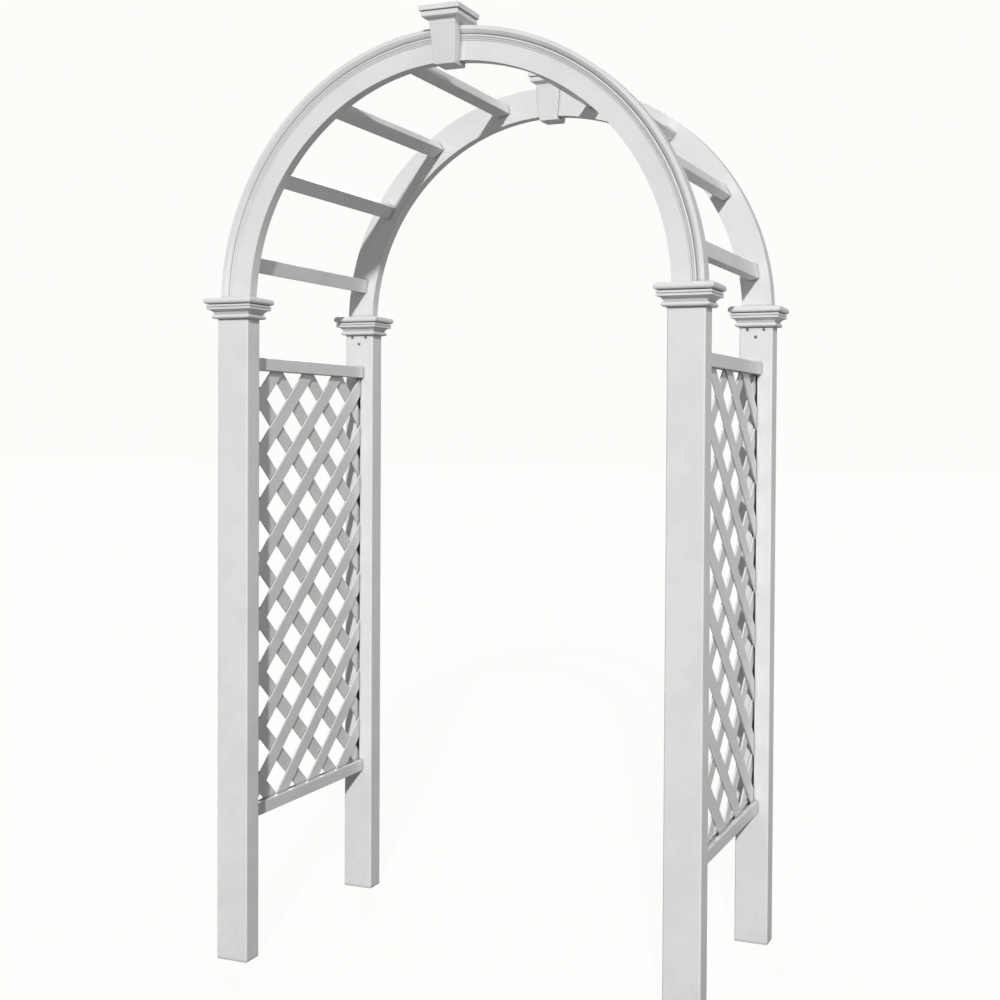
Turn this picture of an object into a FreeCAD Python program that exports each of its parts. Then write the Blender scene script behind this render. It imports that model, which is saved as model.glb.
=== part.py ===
import FreeCAD, Part
import math
import os
import re
import Sketcher

# Free-standing garden arch of white vinyl sections: four posts with collar capitals, two
# half-round arches made in halves and joined under a keystone, eight cross rungs and two
# lattice side panels. +X runs across the way through, +Y from the front arch to the back
# one, +Z up. The origin is on the ground at the middle of the four posts. Millimetres.

doc = FreeCAD.newDocument("GardenArch")

# ---------------------------------------------------------------- driving dimensions
SIZES = {
    "opening_width": 1096.0,     # clear way between the left and right posts
    "post_gap": 530.0,           # clear space between a front post and a back post
    "post_width": 88.9,          # post section across the way through
    "post_depth": 50.8,          # post section front to back
    "post_wall": 3.0,
    "post_corner": 4.0,          # rounding of the post's four long edges
    "fit_gap": 0.2,              # clearance of a piece that slips over or into another
    "capital_bottom": 1606.0,    # height of the capital's underside
    "capital_plate": 5.0,        # closed top of the capital, round the arch leg
    "capital_foot": 5.5,         # capital, beyond the post's face: its foot,
    "bead_height": 10.0,         # a half-round bead,
    "bead_step": 1.5,
    "collar_cove": 12.0,         # a quarter-round cove,
    "collar_step": 1.5,
    "collar_band": 10.5,         # a band with a fine groove along its middle,
    "groove_height": 1.5,
    "groove_depth": 1.2,
    "slab_height": 19.0,         # and the slab with its rounded nose
    "slab_proud": 25.0,          # slab beyond the post's face
    "slab_under": 4.0,           # how far the slab's underside draws in
    "slab_crown": 9.0,           # rounding of the slab's upper edge
    "spring_drop": 18.0,         # centre of the arch below the top of the capital
    "sleeve_side": 1.6,          # wall of the leg sleeve at the narrow sides
    "sleeve_face": 3.5,          # wall of the leg sleeve at the wide faces
    "sleeve_flange": 3.0,        # rim of the sleeve that sits on the post's end
    "sleeve_lip": 4.0,           # ledge under the arch leg
    "leg_insert": 64.0,          # arch leg below the capital's underside
    "arch_wall": 3.0,
    "moulding_proud": 9.0,       # arch moulding in front of the flat band
    "edge_band": 10.5,           # moulding, from the outer edge inward: flat edge band,
    "edge_step": 1.5,
    "cove_width": 11.0,          # wide cove,
    "cove_depth": 3.5,
    "fillet_width": 6.0,         # raised fillet,
    "fillet_rise": 1.2,
    "small_cove": 7.5,           # small cove,
    "small_depth": 2.2,
    "lip_width": 4.0,            # and the lip beside the flat band
    "lip_proud": 2.2,
    "rung_width": 38.0,          # rung section along the arch
    "rung_thick": 25.0,          # rung section across the arch's band
    "rung_wall": 2.5,
    "rungs_per_side": 4,
    "rung_insert": 14.0,         # rung inside the arch, from the arch's inside face
    "rung_first": 10.4,          # angle of the lowest rung above the springing, degrees
    "rung_last": 13.6,           # angle from the highest rung to the crown, degrees
    "rail_width": 32.0,          # rail section across the panel
    "rail_height": 32.0,
    "rail_wall": 2.5,
    "rail_insert": 22.0,         # rail inside the post, from the post's face
    "low_rail_bottom": 342.0,    # underside of the bottom rail
    "rail_drop": 92.0,           # upper face of the top rail below the capital
    "slat_width": 38.0,
    "slat_thick": 4.8,
    "slat_pitch": 100.0,         # slat to slat, square to the slats
    "slat_insert": 8.0,          # slats inside the posts and the rails, from their faces
    "slat_slot_gap": 0.5,        # clearance of the lattice in its slots
    "lattice_shift": 9.0,        # middle of a lattice opening behind the panel's middle
    "lattice_drop": 69.0,        # middle of the first openings below the top rail
    "splice_half": 62.0,         # half length of the splice inside the arch's crown
    "keystone_top_width": 67.0,
    "keystone_foot_width": 53.0,
    "keystone_top_proud": 35.0,  # keystone in front of the arch's flat band, top and foot
    "keystone_foot_proud": 22.0,
    "keystone_top_back": 8.0,    # keystone behind the arch's inside face, top and foot
    "keystone_foot_back": 3.0,
    "keystone_drop": 11.0,       # keystone below the arch
    "keystone_wall": 3.0,
    "cap_foot": 5.5,             # keystone's cap, beyond the keystone: its bed,
    "cap_bed": 8.0,
    "cap_cove": 6.0,             # a cove,
    "cap_step": 1.5,
    "cap_band": 7.0,             # a band
    "cap_slab": 20.0,            # and the slab
    "cap_proud": 18.0,           # slab beyond the keystone's top edge
    "cap_under": 3.0,            # how far the slab's underside draws in
    "cap_nose": 8.0,             # height of the rounding under the slab
    "cap_crown": 6.0,            # rounding of the slab's upper edge
    "cap_tab": 12.0,             # locating tab under the cap, in the keystone's front hollow
    "tab_gap": 3.0,              # clearance round the tab
    "screw_diameter": 4.0,
    "screw_length": 16.0,
    "screw_head": 8.0,
    "screw_head_height": 2.4,
    "screw_clearance": 0.3,
    "leg_screw_spread": 44.0,    # upper two leg screws, apart
    "leg_screw_upper": 7.0,      # leg screws below the capital
    "leg_screw_lower": 26.0,
    "crown_screw_spread": 32.0,  # screws that hold the two halves to the splice, apart
    "crown_screw_rise": 19.0,    # crown screws above the arch's inner edge
    "overcut": 1.0,              # how far a cutting shape runs past the face it opens
    "mitre_spare": 100.0,        # length of a moulding's run past the corner where it is mitred
}

# places and sizes that follow from the driving dimensions
LAYOUT = {
    "post_x": "(opening_width + post_width) / 2",
    "post_y": "(post_gap + post_depth) / 2",
    "hollow_width": "post_width - 2 * post_wall",
    "hollow_depth": "post_depth - 2 * post_wall",
    "collar_top": "bead_height + bead_step + collar_cove",
    "slab_bottom": "collar_top + collar_band",
    "capital_height": "slab_bottom + slab_height",
    "capital_top": "capital_bottom + capital_height",
    "post_top": "capital_top - capital_plate - sleeve_flange",
    "spring_z": "capital_top - spring_drop",
    "leg_width": "hollow_width - 2 * (sleeve_side + 2 * fit_gap)",
    "leg_depth": "hollow_depth - 2 * (sleeve_face + 2 * fit_gap)",
    "leg_bottom": "capital_bottom - leg_insert",
    "arch_inner": "post_x - leg_width / 2",
    "arch_outer": "post_x + leg_width / 2",
    "arch_flat": "moulding_proud - leg_depth / 2",
    "arch_inside": "leg_depth / 2",
    "crown_z": "spring_z + arch_outer",
    "leg_lean": "arch_inner - sqrt(arch_inner ^ 2 - spring_drop ^ 2)",
    "rung_step": "(90 - rung_first - rung_last) / (rungs_per_side - 1)",
    "top_rail_bottom": "capital_bottom - rail_drop - rail_height",
    "slat_step": "slat_pitch * sqrt(2)",
    "lattice_thick": "2 * slat_thick",
    "panel_bottom": "low_rail_bottom + rail_height - slat_insert",
    "panel_top": "top_rail_bottom + slat_insert",
    "panel_length": "post_gap + 2 * slat_insert",
    "panel_height": "panel_top - panel_bottom",
    "slat_reach": "panel_length + panel_height",
    "opening_z": "top_rail_bottom - lattice_drop",
    "keystone_foot_z": "spring_z + arch_inner - keystone_drop",
    "keystone_height": "crown_z - keystone_foot_z",
    "keystone_top_front": "arch_flat - keystone_top_proud",
    "keystone_top_rear": "arch_inside + keystone_top_back",
    "keystone_top_depth": "keystone_top_rear - keystone_top_front",
    "keystone_foot_front": "arch_flat - keystone_foot_proud",
    "keystone_foot_rear": "arch_inside + keystone_foot_back",
    "cap_cove_top": "cap_bed + cap_cove",
    "cap_slab_bottom": "cap_cove_top + cap_band",
    "cap_height": "cap_slab_bottom + cap_slab",
    "tab_room": "keystone_top_proud - moulding_proud - keystone_wall",
}

sheet = doc.addObject("Spreadsheet::Sheet", "Sizes")
for row, (alias, size) in enumerate(SIZES.items(), start=1):
    sheet.set(f"A{row}", alias)
    sheet.set(f"B{row}", str(size))
    sheet.setAlias(f"B{row}", alias)
for row, (alias, rule) in enumerate(LAYOUT.items(), start=1):
    sheet.set(f"D{row}", alias)
    sheet.set(f"E{row}", "=" + rule)
    sheet.setAlias(f"E{row}", alias)
doc.recompute()

ALIASES = re.compile(r"\b(" + "|".join(list(SIZES) + list(LAYOUT)) + r")\b")


def formula(text):
    return ALIASES.sub(r"Sizes.\1", str(text))


def number(text):
    return float(sheet.evalExpression(formula(text)))


def tie(thing, **sizes):
    # a property name is written with _ for the dots of its path
    for name, text in sizes.items():
        thing.setExpression(name.replace("_", "."), formula(text))


def place(thing, across="0", along="0", up="0", turn="0", axis=(0, 0, 1)):
    rotation = FreeCAD.Rotation(FreeCAD.Vector(*axis), number(turn))
    thing.Placement = FreeCAD.Placement(FreeCAD.Vector(), rotation)
    tie(thing, Placement_Base_x=across, Placement_Base_y=along, Placement_Base_z=up)
    if turn != "0":
        tie(thing, Placement_Rotation_Angle=turn)


# ---------------------------------------------------------------- sketch helpers
def new_sketch(body, plane, name):
    sketch = body.newObject("Sketcher::SketchObject", name)
    origin_plane = next(p for p in body.Origin.OriginFeatures if p.Role == plane)
    sketch.AttachmentSupport = [(origin_plane, "")]
    sketch.MapMode = "FlatFace"
    return sketch


def drive(sketch, kind, text, *where):
    index = sketch.addConstraint(Sketcher.Constraint(kind, *where, number(text)))
    sketch.setExpression(f"Constraints[{index}]", formula(text))


def arc_between(start, end, radius, side):
    # side 1 turns anticlockwise from start to end, -1 clockwise; never more than half a turn
    chord = end - start
    reach = math.sqrt(max(radius ** 2 - (chord.Length / 2) ** 2, 0))
    across = FreeCAD.Vector(-chord.y, chord.x, 0).normalize()
    centre = start + chord * 0.5 + across * reach * side
    first, last = (start, end) if side > 0 else (end, start)
    angles = [math.atan2(p.y - centre.y, p.x - centre.x) for p in (first, last)]
    if angles[1] < angles[0]:
        angles[1] += 2 * math.pi
    return Part.ArcOfCircle(Part.Circle(centre, FreeCAD.Vector(0, 0, 1), radius), *angles)


def outline(sketch, corners):
    # corners: (across, up) or (across, up, radius, side) when an arc leads to the next one
    points = [FreeCAD.Vector(number(c[0]), number(c[1]), 0) for c in corners]
    ends = []
    for index, corner in enumerate(corners):
        start, end = points[index], points[(index + 1) % len(points)]
        if len(corner) == 4:
            edge = sketch.addGeometry(arc_between(start, end, number(corner[2]), corner[3]))
            drive(sketch, "Radius", corner[2], edge)
            ends.append((edge, 1, 2) if corner[3] > 0 else (edge, 2, 1))
        else:
            edge = sketch.addGeometry(Part.LineSegment(start, end))
            ends.append((edge, 1, 2))
    for index, (edge, head, tail) in enumerate(ends):
        following = ends[(index + 1) % len(ends)]
        sketch.addConstraint(Sketcher.Constraint("Coincident", edge, tail, following[0], following[1]))
        drive(sketch, "DistanceX", corners[index][0], edge, head)
        drive(sketch, "DistanceY", corners[index][1], edge, head)


def rectangle(sketch, left, right, low, high):
    outline(sketch, [(left, low), (right, low), (right, high), (left, high)])


def hole(sketch, across, up, radius):
    centre = FreeCAD.Vector(number(across), number(up), 0)
    circle = sketch.addGeometry(Part.Circle(centre, FreeCAD.Vector(0, 0, 1), number(radius)))
    drive(sketch, "DistanceX", across, circle, 3)
    drive(sketch, "DistanceY", up, circle, 3)
    drive(sketch, "Radius", radius, circle)


def new_body(name):
    return doc.addObject("PartDesign::Body", name)


def pad(body, sketch, length, midplane=False, reversed_=False):
    feature = body.newObject("PartDesign::Pad", "Pad")
    feature.Profile = sketch
    feature.Midplane = midplane
    feature.Reversed = reversed_
    tie(feature, Length=length)
    return feature


def pocket(body, sketch, length):
    feature = body.newObject("PartDesign::Pocket", "Pocket")
    feature.Profile = sketch
    tie(feature, Length=length)
    return feature


def turn_about(body, sketch, axis, angle, midplane=False, reversed_=False):
    feature = body.newObject("PartDesign::Revolution", "Revolution")
    feature.Profile = sketch
    feature.ReferenceAxis = (sketch, [axis])
    feature.Midplane = midplane
    feature.Reversed = reversed_
    tie(feature, Angle=angle)
    return feature


# ---------------------------------------------------------------- solid helpers
def block(name, width, depth, height, across="0", along="0", up="0"):
    # a box centred on across and along, with its underside at up
    box = doc.addObject("Part::Box", name)
    tie(box, Length=width, Width=depth, Height=height)
    place(box, f"({across}) - ({width}) / 2", f"({along}) - ({depth}) / 2", up)
    return box


def rod(name, radius, length, across="0", along="0", up="0"):
    # a round bar that starts at along and runs towards +Y
    bar = doc.addObject("Part::Cylinder", name)
    tie(bar, Radius=radius, Height=length)
    place(bar, across, along, up, "-90", (1, 0, 0))
    return bar


def fuse(name, things):
    joined = doc.addObject("Part::MultiFuse", name)
    joined.Shapes = things
    return joined


def cut(name, base, tool):
    result = doc.addObject("Part::Cut", name)
    result.Base = base
    result.Tool = tool
    return result


def common(name, base, tool):
    result = doc.addObject("Part::Common", name)
    result.Base = base
    result.Tool = tool
    return result


def compound(name, things):
    group = doc.addObject("Part::Compound", name)
    group.Links = things
    return group


SUBPARTS = []


def subpart(thing, label):
    thing.Label = label
    SUBPARTS.append(thing)
    return thing


SIDES = {"left": -1, "right": 1}
ENDS = {"front": -1, "back": 1}


def stand_at_post(thing, side, end, up="0"):
    # a piece drawn on the front post's axis, its inner face towards +Y
    turn = "0" if end == "front" else "180"
    place(thing, f"{SIDES[side]} * post_x", f"{ENDS[end]} * post_y", up, turn)


def stand_at_arch(thing, end):
    # a piece drawn on the front arch's centre line, its inner face towards +Y
    place(thing, "0", f"{ENDS[end]} * post_y", "spring_z", "0" if end == "front" else "180")


# ---------------------------------------------------------------- posts
def leg_screw_places():
    return [
        ("-leg_screw_spread / 2", "capital_bottom - leg_screw_upper"),
        ("leg_screw_spread / 2", "capital_bottom - leg_screw_upper"),
        ("0", "capital_bottom - leg_screw_lower"),
    ]


def post(side, end):
    body = new_body("Post")
    section = new_sketch(body, "XY_Plane", "Section")
    wide, deep, corner = "post_width / 2", "post_depth / 2", "post_corner"
    outline(section, [
        (f"-{wide} + {corner}", f"-{deep}"), (f"{wide} - {corner}", f"-{deep}", corner, 1),
        (wide, f"-{deep} + {corner}"), (wide, f"{deep} - {corner}", corner, 1),
        (f"{wide} - {corner}", deep), (f"-{wide} + {corner}", deep, corner, 1),
        (f"-{wide}", f"{deep} - {corner}"), (f"-{wide}", f"-{deep} + {corner}", corner, 1),
    ])
    rectangle(section, "-hollow_width / 2", "hollow_width / 2", "-hollow_depth / 2", "hollow_depth / 2")
    pad(body, section, "post_top")
    mortises = new_sketch(body, "XZ_Plane", "Mortises")
    mouth = "rail_width / 2 + fit_gap"
    slot = "lattice_thick / 2 + slat_slot_gap"
    low, low_end = "low_rail_bottom - fit_gap", "low_rail_bottom + rail_height + fit_gap"
    top, top_end = "top_rail_bottom - fit_gap", "top_rail_bottom + rail_height + fit_gap"
    right_edge = [
        (mouth, low), (mouth, low_end), (slot, low_end),
        (slot, top), (mouth, top), (mouth, top_end),
    ]
    left_edge = [(f"-({across})", up) for across, up in reversed(right_edge)]
    outline(mortises, right_edge + left_edge)
    pocket(body, mortises, "post_depth")
    screw_holes = new_sketch(body, "XZ_Plane", "ScrewHoles")
    for across, up in leg_screw_places():
        hole(screw_holes, across, up, "screw_diameter / 2 + screw_clearance")
    pocket(body, screw_holes, "post_depth")
    stand_at_post(subpart(body, f"post_{end}_{side}"), side, end)


# ---------------------------------------------------------------- capitals and keystone caps
def square_moulding(name, half_width, half_depth, profile):
    # the same profile runs along all four sides, mitred at the corners; (out, up[, arc])
    runs = []
    for plane, half, reach in (("XZ_Plane", half_width, half_depth), ("YZ_Plane", half_depth, half_width)):
        body = new_body(name + "Run")
        sketch = new_sketch(body, plane, "Profile")
        right = []
        left = []
        for index, point in enumerate(profile):
            right.append((f"{half} + {point[0]}", str(point[1]), *point[2:]))
            before = profile[index - 1] if index else ()
            left.insert(0, (f"-({half} + {point[0]})", str(point[1]), *before[2:]))
        outline(sketch, right + left)
        pad(body, sketch, f"2 * ({reach} + mitre_spare)", midplane=True)
        runs.append(body)
    return common(name + "Solid", *runs)


def nose_radius(draw_in, rise):
    # the arc that starts upright and draws in by draw_in over the height rise
    return f"(({draw_in}) ^ 2 + ({rise}) ^ 2) / (2 * ({draw_in}))"


def capital_profile():
    # (beyond the post's face, height[, radius, side of the arc to the next point])
    foot, bead = "capital_foot", "bead_height / 2"
    band = f"{foot} + collar_cove + collar_step"
    groove = "(collar_top + (collar_band - groove_height) / 2)"
    return [
        (foot, "0", bead, 1), (f"{foot} + {bead}", bead, bead, 1), (foot, "bead_height"),
        (foot, "bead_height + bead_step", "collar_cove", -1), (f"{foot} + collar_cove", "collar_top"),
        (band, "collar_top"), (band, groove),
        (f"{band} - groove_depth", groove), (f"{band} - groove_depth", f"{groove} + groove_height"),
        (band, f"{groove} + groove_height"), (band, "slab_bottom"),
        ("slab_proud - slab_under", "slab_bottom", nose_radius("slab_under", "slab_height - slab_crown"), 1),
        ("slab_proud", "capital_height - slab_crown", "slab_crown", 1),
        ("slab_proud - slab_crown", "capital_height"),
    ]


def capital(side, end):
    solid = square_moulding("Capital", "post_width / 2", "post_depth / 2", capital_profile())
    socket = block("Socket", "post_width + 2 * fit_gap", "post_depth + 2 * fit_gap",
                   "capital_height - capital_plate")
    # the arch already leans inward where it leaves the capital, so its mouth is that much wider
    mouth = block("Mouth", "leg_width + 2 * (leg_lean + fit_gap)", "leg_depth + 2 * fit_gap",
                  "capital_height")
    piece = cut("Capital", solid, fuse("Opening", [socket, mouth]))
    stand_at_post(subpart(piece, f"capital_{end}_{side}"), side, end, "capital_bottom")


# ---------------------------------------------------------------- leg sleeves
def leg_sleeve(side, end):
    tall = "post_top - leg_bottom + sleeve_lip"
    tube = block("Tube", "hollow_width - 2 * fit_gap", "hollow_depth - 2 * fit_gap", tall,
                 up="leg_bottom - sleeve_lip")
    rim = block("Rim", "post_width", "post_depth", "sleeve_flange", up="post_top")
    bore = block("Bore", "leg_width + 2 * fit_gap", "leg_depth + 2 * fit_gap",
                 "post_top + sleeve_flange - leg_bottom", up="leg_bottom")
    drain = block("Drain", "leg_width - 2 * sleeve_lip", "leg_depth - 2 * sleeve_lip", tall,
                  up="leg_bottom - sleeve_lip")
    holes = [rod("ScrewHole", "screw_diameter / 2 + screw_clearance", "post_depth / 2", across, "0", up)
             for across, up in leg_screw_places()]
    piece = cut("LegSleeve", fuse("Sleeve", [tube, rim]), fuse("Inside", [bore, drain] + holes))
    stand_at_post(subpart(piece, f"leg_sleeve_{end}_{side}"), side, end)


# ---------------------------------------------------------------- arch halves
def arch_section(gap="0"):
    # (radius, depth) round the arch's section, the moulding along the outer edge of its front
    front = "arch_flat - moulding_proud"
    outer = "arch_outer"
    band = f"{outer} - edge_band"
    step = f"{front} + edge_step"
    cove = f"{band} - cove_width"
    cove_y = f"{step} + cove_depth"
    fillet = f"{cove} - fillet_width"
    fillet_y = f"{cove_y} - fillet_rise"
    small = f"{fillet} - small_cove"
    small_y = f"{cove_y} + small_depth"
    lip = f"{small} - lip_width"
    lip_y = "arch_flat - lip_proud"
    cove_radius = "(cove_width ^ 2 + cove_depth ^ 2) / (2 * cove_depth)"
    small_radius = "(small_cove ^ 2 + small_depth ^ 2) / (2 * small_depth)"
    return [
        (f"arch_inner - {gap}", f"arch_inside + {gap}"), (f"{outer} + {gap}", f"arch_inside + {gap}"),
        (f"{outer} + {gap}", f"{front} - {gap}"), (f"{band} - {gap}", f"{front} - {gap}"),
        (f"{band} - {gap}", f"{step} - {gap}", cove_radius, 1), (f"{cove} + {gap}", f"{cove_y} - {gap}"),
        (f"{cove} + {gap}", f"{fillet_y} - {gap}"), (f"{fillet} - {gap}", f"{fillet_y} - {gap}"),
        (f"{fillet} - {gap}", f"{cove_y} - {gap}", small_radius, 1),
        (f"{small} + {gap}", f"{small_y} - {gap}"),
        (f"{small} + {gap}", f"{lip_y} - {gap}"), (f"{lip} - {gap}", f"{lip_y} - {gap}"),
        (f"{lip} - {gap}", f"arch_flat - {gap}"), (f"arch_inner - {gap}", f"arch_flat - {gap}"),
    ]


def mirrored(corners):
    # the outline with its first coordinate reversed, and its arcs turned the other way
    return [(f"-({c[0]})", c[1], c[2], -c[3]) if len(c) == 4 else (f"-({c[0]})", c[1]) for c in corners]


def rung_corners(hand, index):
    # the mouth of one rung's mortise, square to the radius
    angle = f"(rung_first + {index} * rung_step)"
    corners = []
    for radial, along in ((-1, -1), (1, -1), (1, 1), (-1, 1)):
        out = f"(post_x + {radial} * (rung_thick / 2 + fit_gap))"
        side = f"({along} * (rung_width / 2 + fit_gap))"
        corners.append((f"{hand} * ({out} * cos({angle}) - {side} * sin({angle}))",
                        f"{out} * sin({angle}) + {side} * cos({angle})"))
    return corners


def arch_half(side, end):
    # the hand of the half as drawn for the front arch; the back arch is turned half round
    hand = SIDES[side] * -ENDS[end]
    body = new_body("ArchHalf")
    section = new_sketch(body, "XY_Plane", "Section")
    corners = arch_section()
    outline(section, corners if hand > 0 else mirrored(corners))
    near, far = f"{hand} * (arch_inner + arch_wall)", f"{hand} * (arch_outer - arch_wall)"
    rectangle(section, near, far, "arch_flat + arch_wall", "arch_inside - arch_wall")
    turn_about(body, section, "V_Axis", "90", reversed_=hand > 0)
    pad(body, section, "spring_z - leg_bottom", reversed_=True)
    mortises = new_sketch(body, "XZ_Plane", "RungMortises")
    for index in range(SIZES["rungs_per_side"]):
        outline(mortises, rung_corners(hand, index))
    for across, up in leg_screw_places():
        hole(mortises, f"{hand} * post_x + ({across})", f"{up} - spring_z", "screw_diameter / 2")
    pocket(body, mortises, "post_depth")
    crown_hole = rod("CrownHole", "screw_diameter / 2 + screw_clearance", "moulding_proud + arch_wall",
                     f"{hand} * crown_screw_spread / 2", "arch_flat - moulding_proud",
                     "arch_inner + crown_screw_rise")
    stand_at_arch(subpart(cut("Half", body, crown_hole), f"arch_{end}_{side}_half"), end)


# ---------------------------------------------------------------- crown splices
def crown_screw_places():
    return [(f"{hand} * crown_screw_spread / 2", "arch_inner + crown_screw_rise") for hand in (-1, 1)]


def crown_splice(end):
    body = new_body("CrownSplice")
    section = new_sketch(body, "YZ_Plane", "Section")
    rectangle(section, "arch_flat + arch_wall + fit_gap", "arch_inside - arch_wall - fit_gap",
              "arch_inner + arch_wall + fit_gap", "arch_outer - arch_wall - fit_gap")
    turn_about(body, section, "H_Axis", "2 * asin(splice_half / post_x)", midplane=True)
    pilots = fuse("Pilots", [rod("Pilot", "screw_diameter / 2", "screw_length", across, "arch_flat", up)
                             for across, up in crown_screw_places()])
    stand_at_arch(subpart(cut("Splice", body, pilots), f"crown_splice_{end}"), end)


# ---------------------------------------------------------------- keystones
def tapered_block(name, inset, foot, top):
    # upright wedge from the keystone's foot to its top, each face moved in by inset
    wedge = doc.addObject("Part::Wedge", name)
    # the wedge grows along its own Y axis, which stands up after the turn about X
    tie(wedge, Ymin=foot, Ymax=top,
        Xmin=f"-keystone_foot_width / 2 + {inset}", Xmax=f"keystone_foot_width / 2 - {inset}",
        X2min=f"-keystone_top_width / 2 + {inset}", X2max=f"keystone_top_width / 2 - {inset}",
        Zmin=f"-keystone_foot_rear + {inset}", Zmax=f"-keystone_foot_front - {inset}",
        Z2min=f"-keystone_top_rear + {inset}", Z2max=f"-keystone_top_front - {inset}")
    place(wedge, "0", "0", "arch_inner - keystone_drop", "90", (1, 0, 0))
    return wedge


def keystone(end):
    outer = tapered_block("Outside", "0", "0", "keystone_height")
    inner = tapered_block("Inside", "keystone_wall", "keystone_wall", "keystone_height + overcut")
    body = new_body("ArchThrough")
    section = new_sketch(body, "YZ_Plane", "Section")
    swapped = [(c[1], c[0], c[2], -c[3]) if len(c) == 4 else (c[1], c[0]) for c in arch_section("fit_gap")]
    outline(section, swapped)
    turn_about(body, section, "H_Axis", "2 * asin(keystone_top_width / post_x)", midplane=True)
    piece = cut("Keystone", outer, fuse("Hollow", [inner, body]))
    stand_at_arch(subpart(piece, f"keystone_{end}"), end)


def cap_profile():
    # (beyond the keystone's top edge, height[, radius, side of the arc to the next point])
    cove = "cap_foot + cap_cove"
    return [
        ("cap_foot", "0"), ("cap_foot", "cap_bed", "cap_cove", -1), (cove, "cap_cove_top"),
        (f"{cove} + cap_step", "cap_cove_top"), (f"{cove} + cap_step", "cap_slab_bottom"),
        ("cap_proud - cap_under", "cap_slab_bottom", nose_radius("cap_under", "cap_nose"), 1),
        ("cap_proud", "cap_slab_bottom + cap_nose"),
        ("cap_proud", "cap_height - cap_crown", "cap_crown", 1), ("cap_proud - cap_crown", "cap_height"),
    ]


def keystone_cap(end):
    middle = "(keystone_top_front + keystone_top_rear) / 2"
    solid = square_moulding("Cap", "keystone_top_width / 2", "keystone_top_depth / 2", cap_profile())
    place(solid, "0", middle, "arch_outer")
    tab = block("Tab", "keystone_foot_width - 2 * (keystone_wall + tab_gap)", "tab_room - 2 * tab_gap",
                "cap_tab", along="keystone_top_front + keystone_wall + tab_room / 2",
                up="arch_outer - cap_tab")
    stand_at_arch(subpart(fuse("KeystoneCap", [solid, tab]), f"keystone_cap_{end}"), end)


# ---------------------------------------------------------------- rungs and rails
def square_tube(name, width, length, height, wall, up="0"):
    outside = block(name + "Outside", width, length, height, up=up)
    inside = block(name + "Inside", f"{width} - 2 * {wall}", f"{length} + 2 * overcut",
                   f"{height} - 2 * {wall}", up=f"{up} + {wall}")
    return cut(name, outside, inside)


def rung(side, index):
    piece = square_tube("Rung", "rung_thick", "2 * (post_y - arch_inside + rung_insert)", "rung_width",
                        "rung_wall", "-rung_width / 2")
    angle = f"rung_first + {index} * rung_step"
    place(piece, f"{SIDES[side]} * post_x * cos({angle})", "0", f"spring_z + post_x * sin({angle})",
          angle, (0, -SIDES[side], 0))
    subpart(piece, f"rung_{side}_{index + 1}")


def rail(side, name, bottom, slot_up):
    tube = square_tube("Rail", "rail_width", "post_gap + 2 * rail_insert", "rail_height", "rail_wall")
    slot = block("Slot", "lattice_thick + 2 * slat_slot_gap", "panel_length + 2 * slat_slot_gap",
                 "rail_wall + overcut", up=slot_up)
    piece = cut("SlottedRail", tube, slot)
    place(piece, f"{SIDES[side]} * post_x", "0", bottom)
    subpart(piece, f"{name}_{side}")


# ---------------------------------------------------------------- lattice
def lattice_layer(side, layer, across, rise):
    # parallel slats at half a right angle, cut square at the panel's edges
    count = math.ceil(number("slat_reach / slat_step")) + 1
    margin = number("panel_length / 2 + slat_width / sqrt(2)")
    slats = []
    for index in range(-count, count + 1):
        run = number(f"lattice_shift + ({index} + 0.5) * slat_step")
        ends = [run - rise * (number("opening_z") - number(edge)) for edge in ("panel_bottom", "panel_top")]
        if max(ends) < -margin or min(ends) > margin:
            continue
        slat = doc.addObject("Part::Box", "Slat")
        tie(slat, Length="slat_thick", Width="2 * sqrt(2) * slat_reach", Height="slat_width")
        turn = FreeCAD.Rotation(FreeCAD.Vector(1, 0, 0), 45 * rise)
        slat.Placement = FreeCAD.Placement(FreeCAD.Vector(), turn)
        # the slat's middle sits where its centre line crosses the height of the openings
        low = "slat_width / (2 * sqrt(2))"
        tie(slat, Placement_Base_x="-slat_thick / 2",
            Placement_Base_y=f"lattice_shift + ({index} + 0.5) * slat_step - slat_reach + {rise} * {low}",
            Placement_Base_z=f"opening_z - {rise} * slat_reach - {low}")
        slats.append(slat)
    panel = block("Panel", "slat_thick", "panel_length", "panel_height", up="panel_bottom")
    piece = common("LatticeLayer", compound("Slats", slats), panel)
    place(piece, f"{SIDES[side]} * (post_x + {across} * slat_thick / 2)")
    subpart(piece, f"lattice_{side}_{layer}")


# ---------------------------------------------------------------- screws
def screw(across, seat, up, into):
    # a round head outside the seat and a shank that runs into it along Y
    head_at = f"({seat}) - screw_head_height" if into > 0 else seat
    shank_at = seat if into > 0 else f"({seat}) - screw_length"
    head = rod("Head", "screw_head / 2", "screw_head_height", across, head_at, up)
    shank = rod("Shank", "screw_diameter / 2", "screw_length", across, shank_at, up)
    return fuse("Screw", [head, shank])


def leg_screws(side, end):
    screws = [screw(across, "post_depth / 2", up, -1) for across, up in leg_screw_places()]
    stand_at_post(subpart(compound("LegScrews", screws), f"leg_screws_{end}_{side}"), side, end)


def crown_screws(end):
    screws = [screw(across, "arch_flat", up, 1) for across, up in crown_screw_places()]
    stand_at_arch(subpart(compound("CrownScrews", screws), f"crown_screws_{end}"), end)


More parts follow.
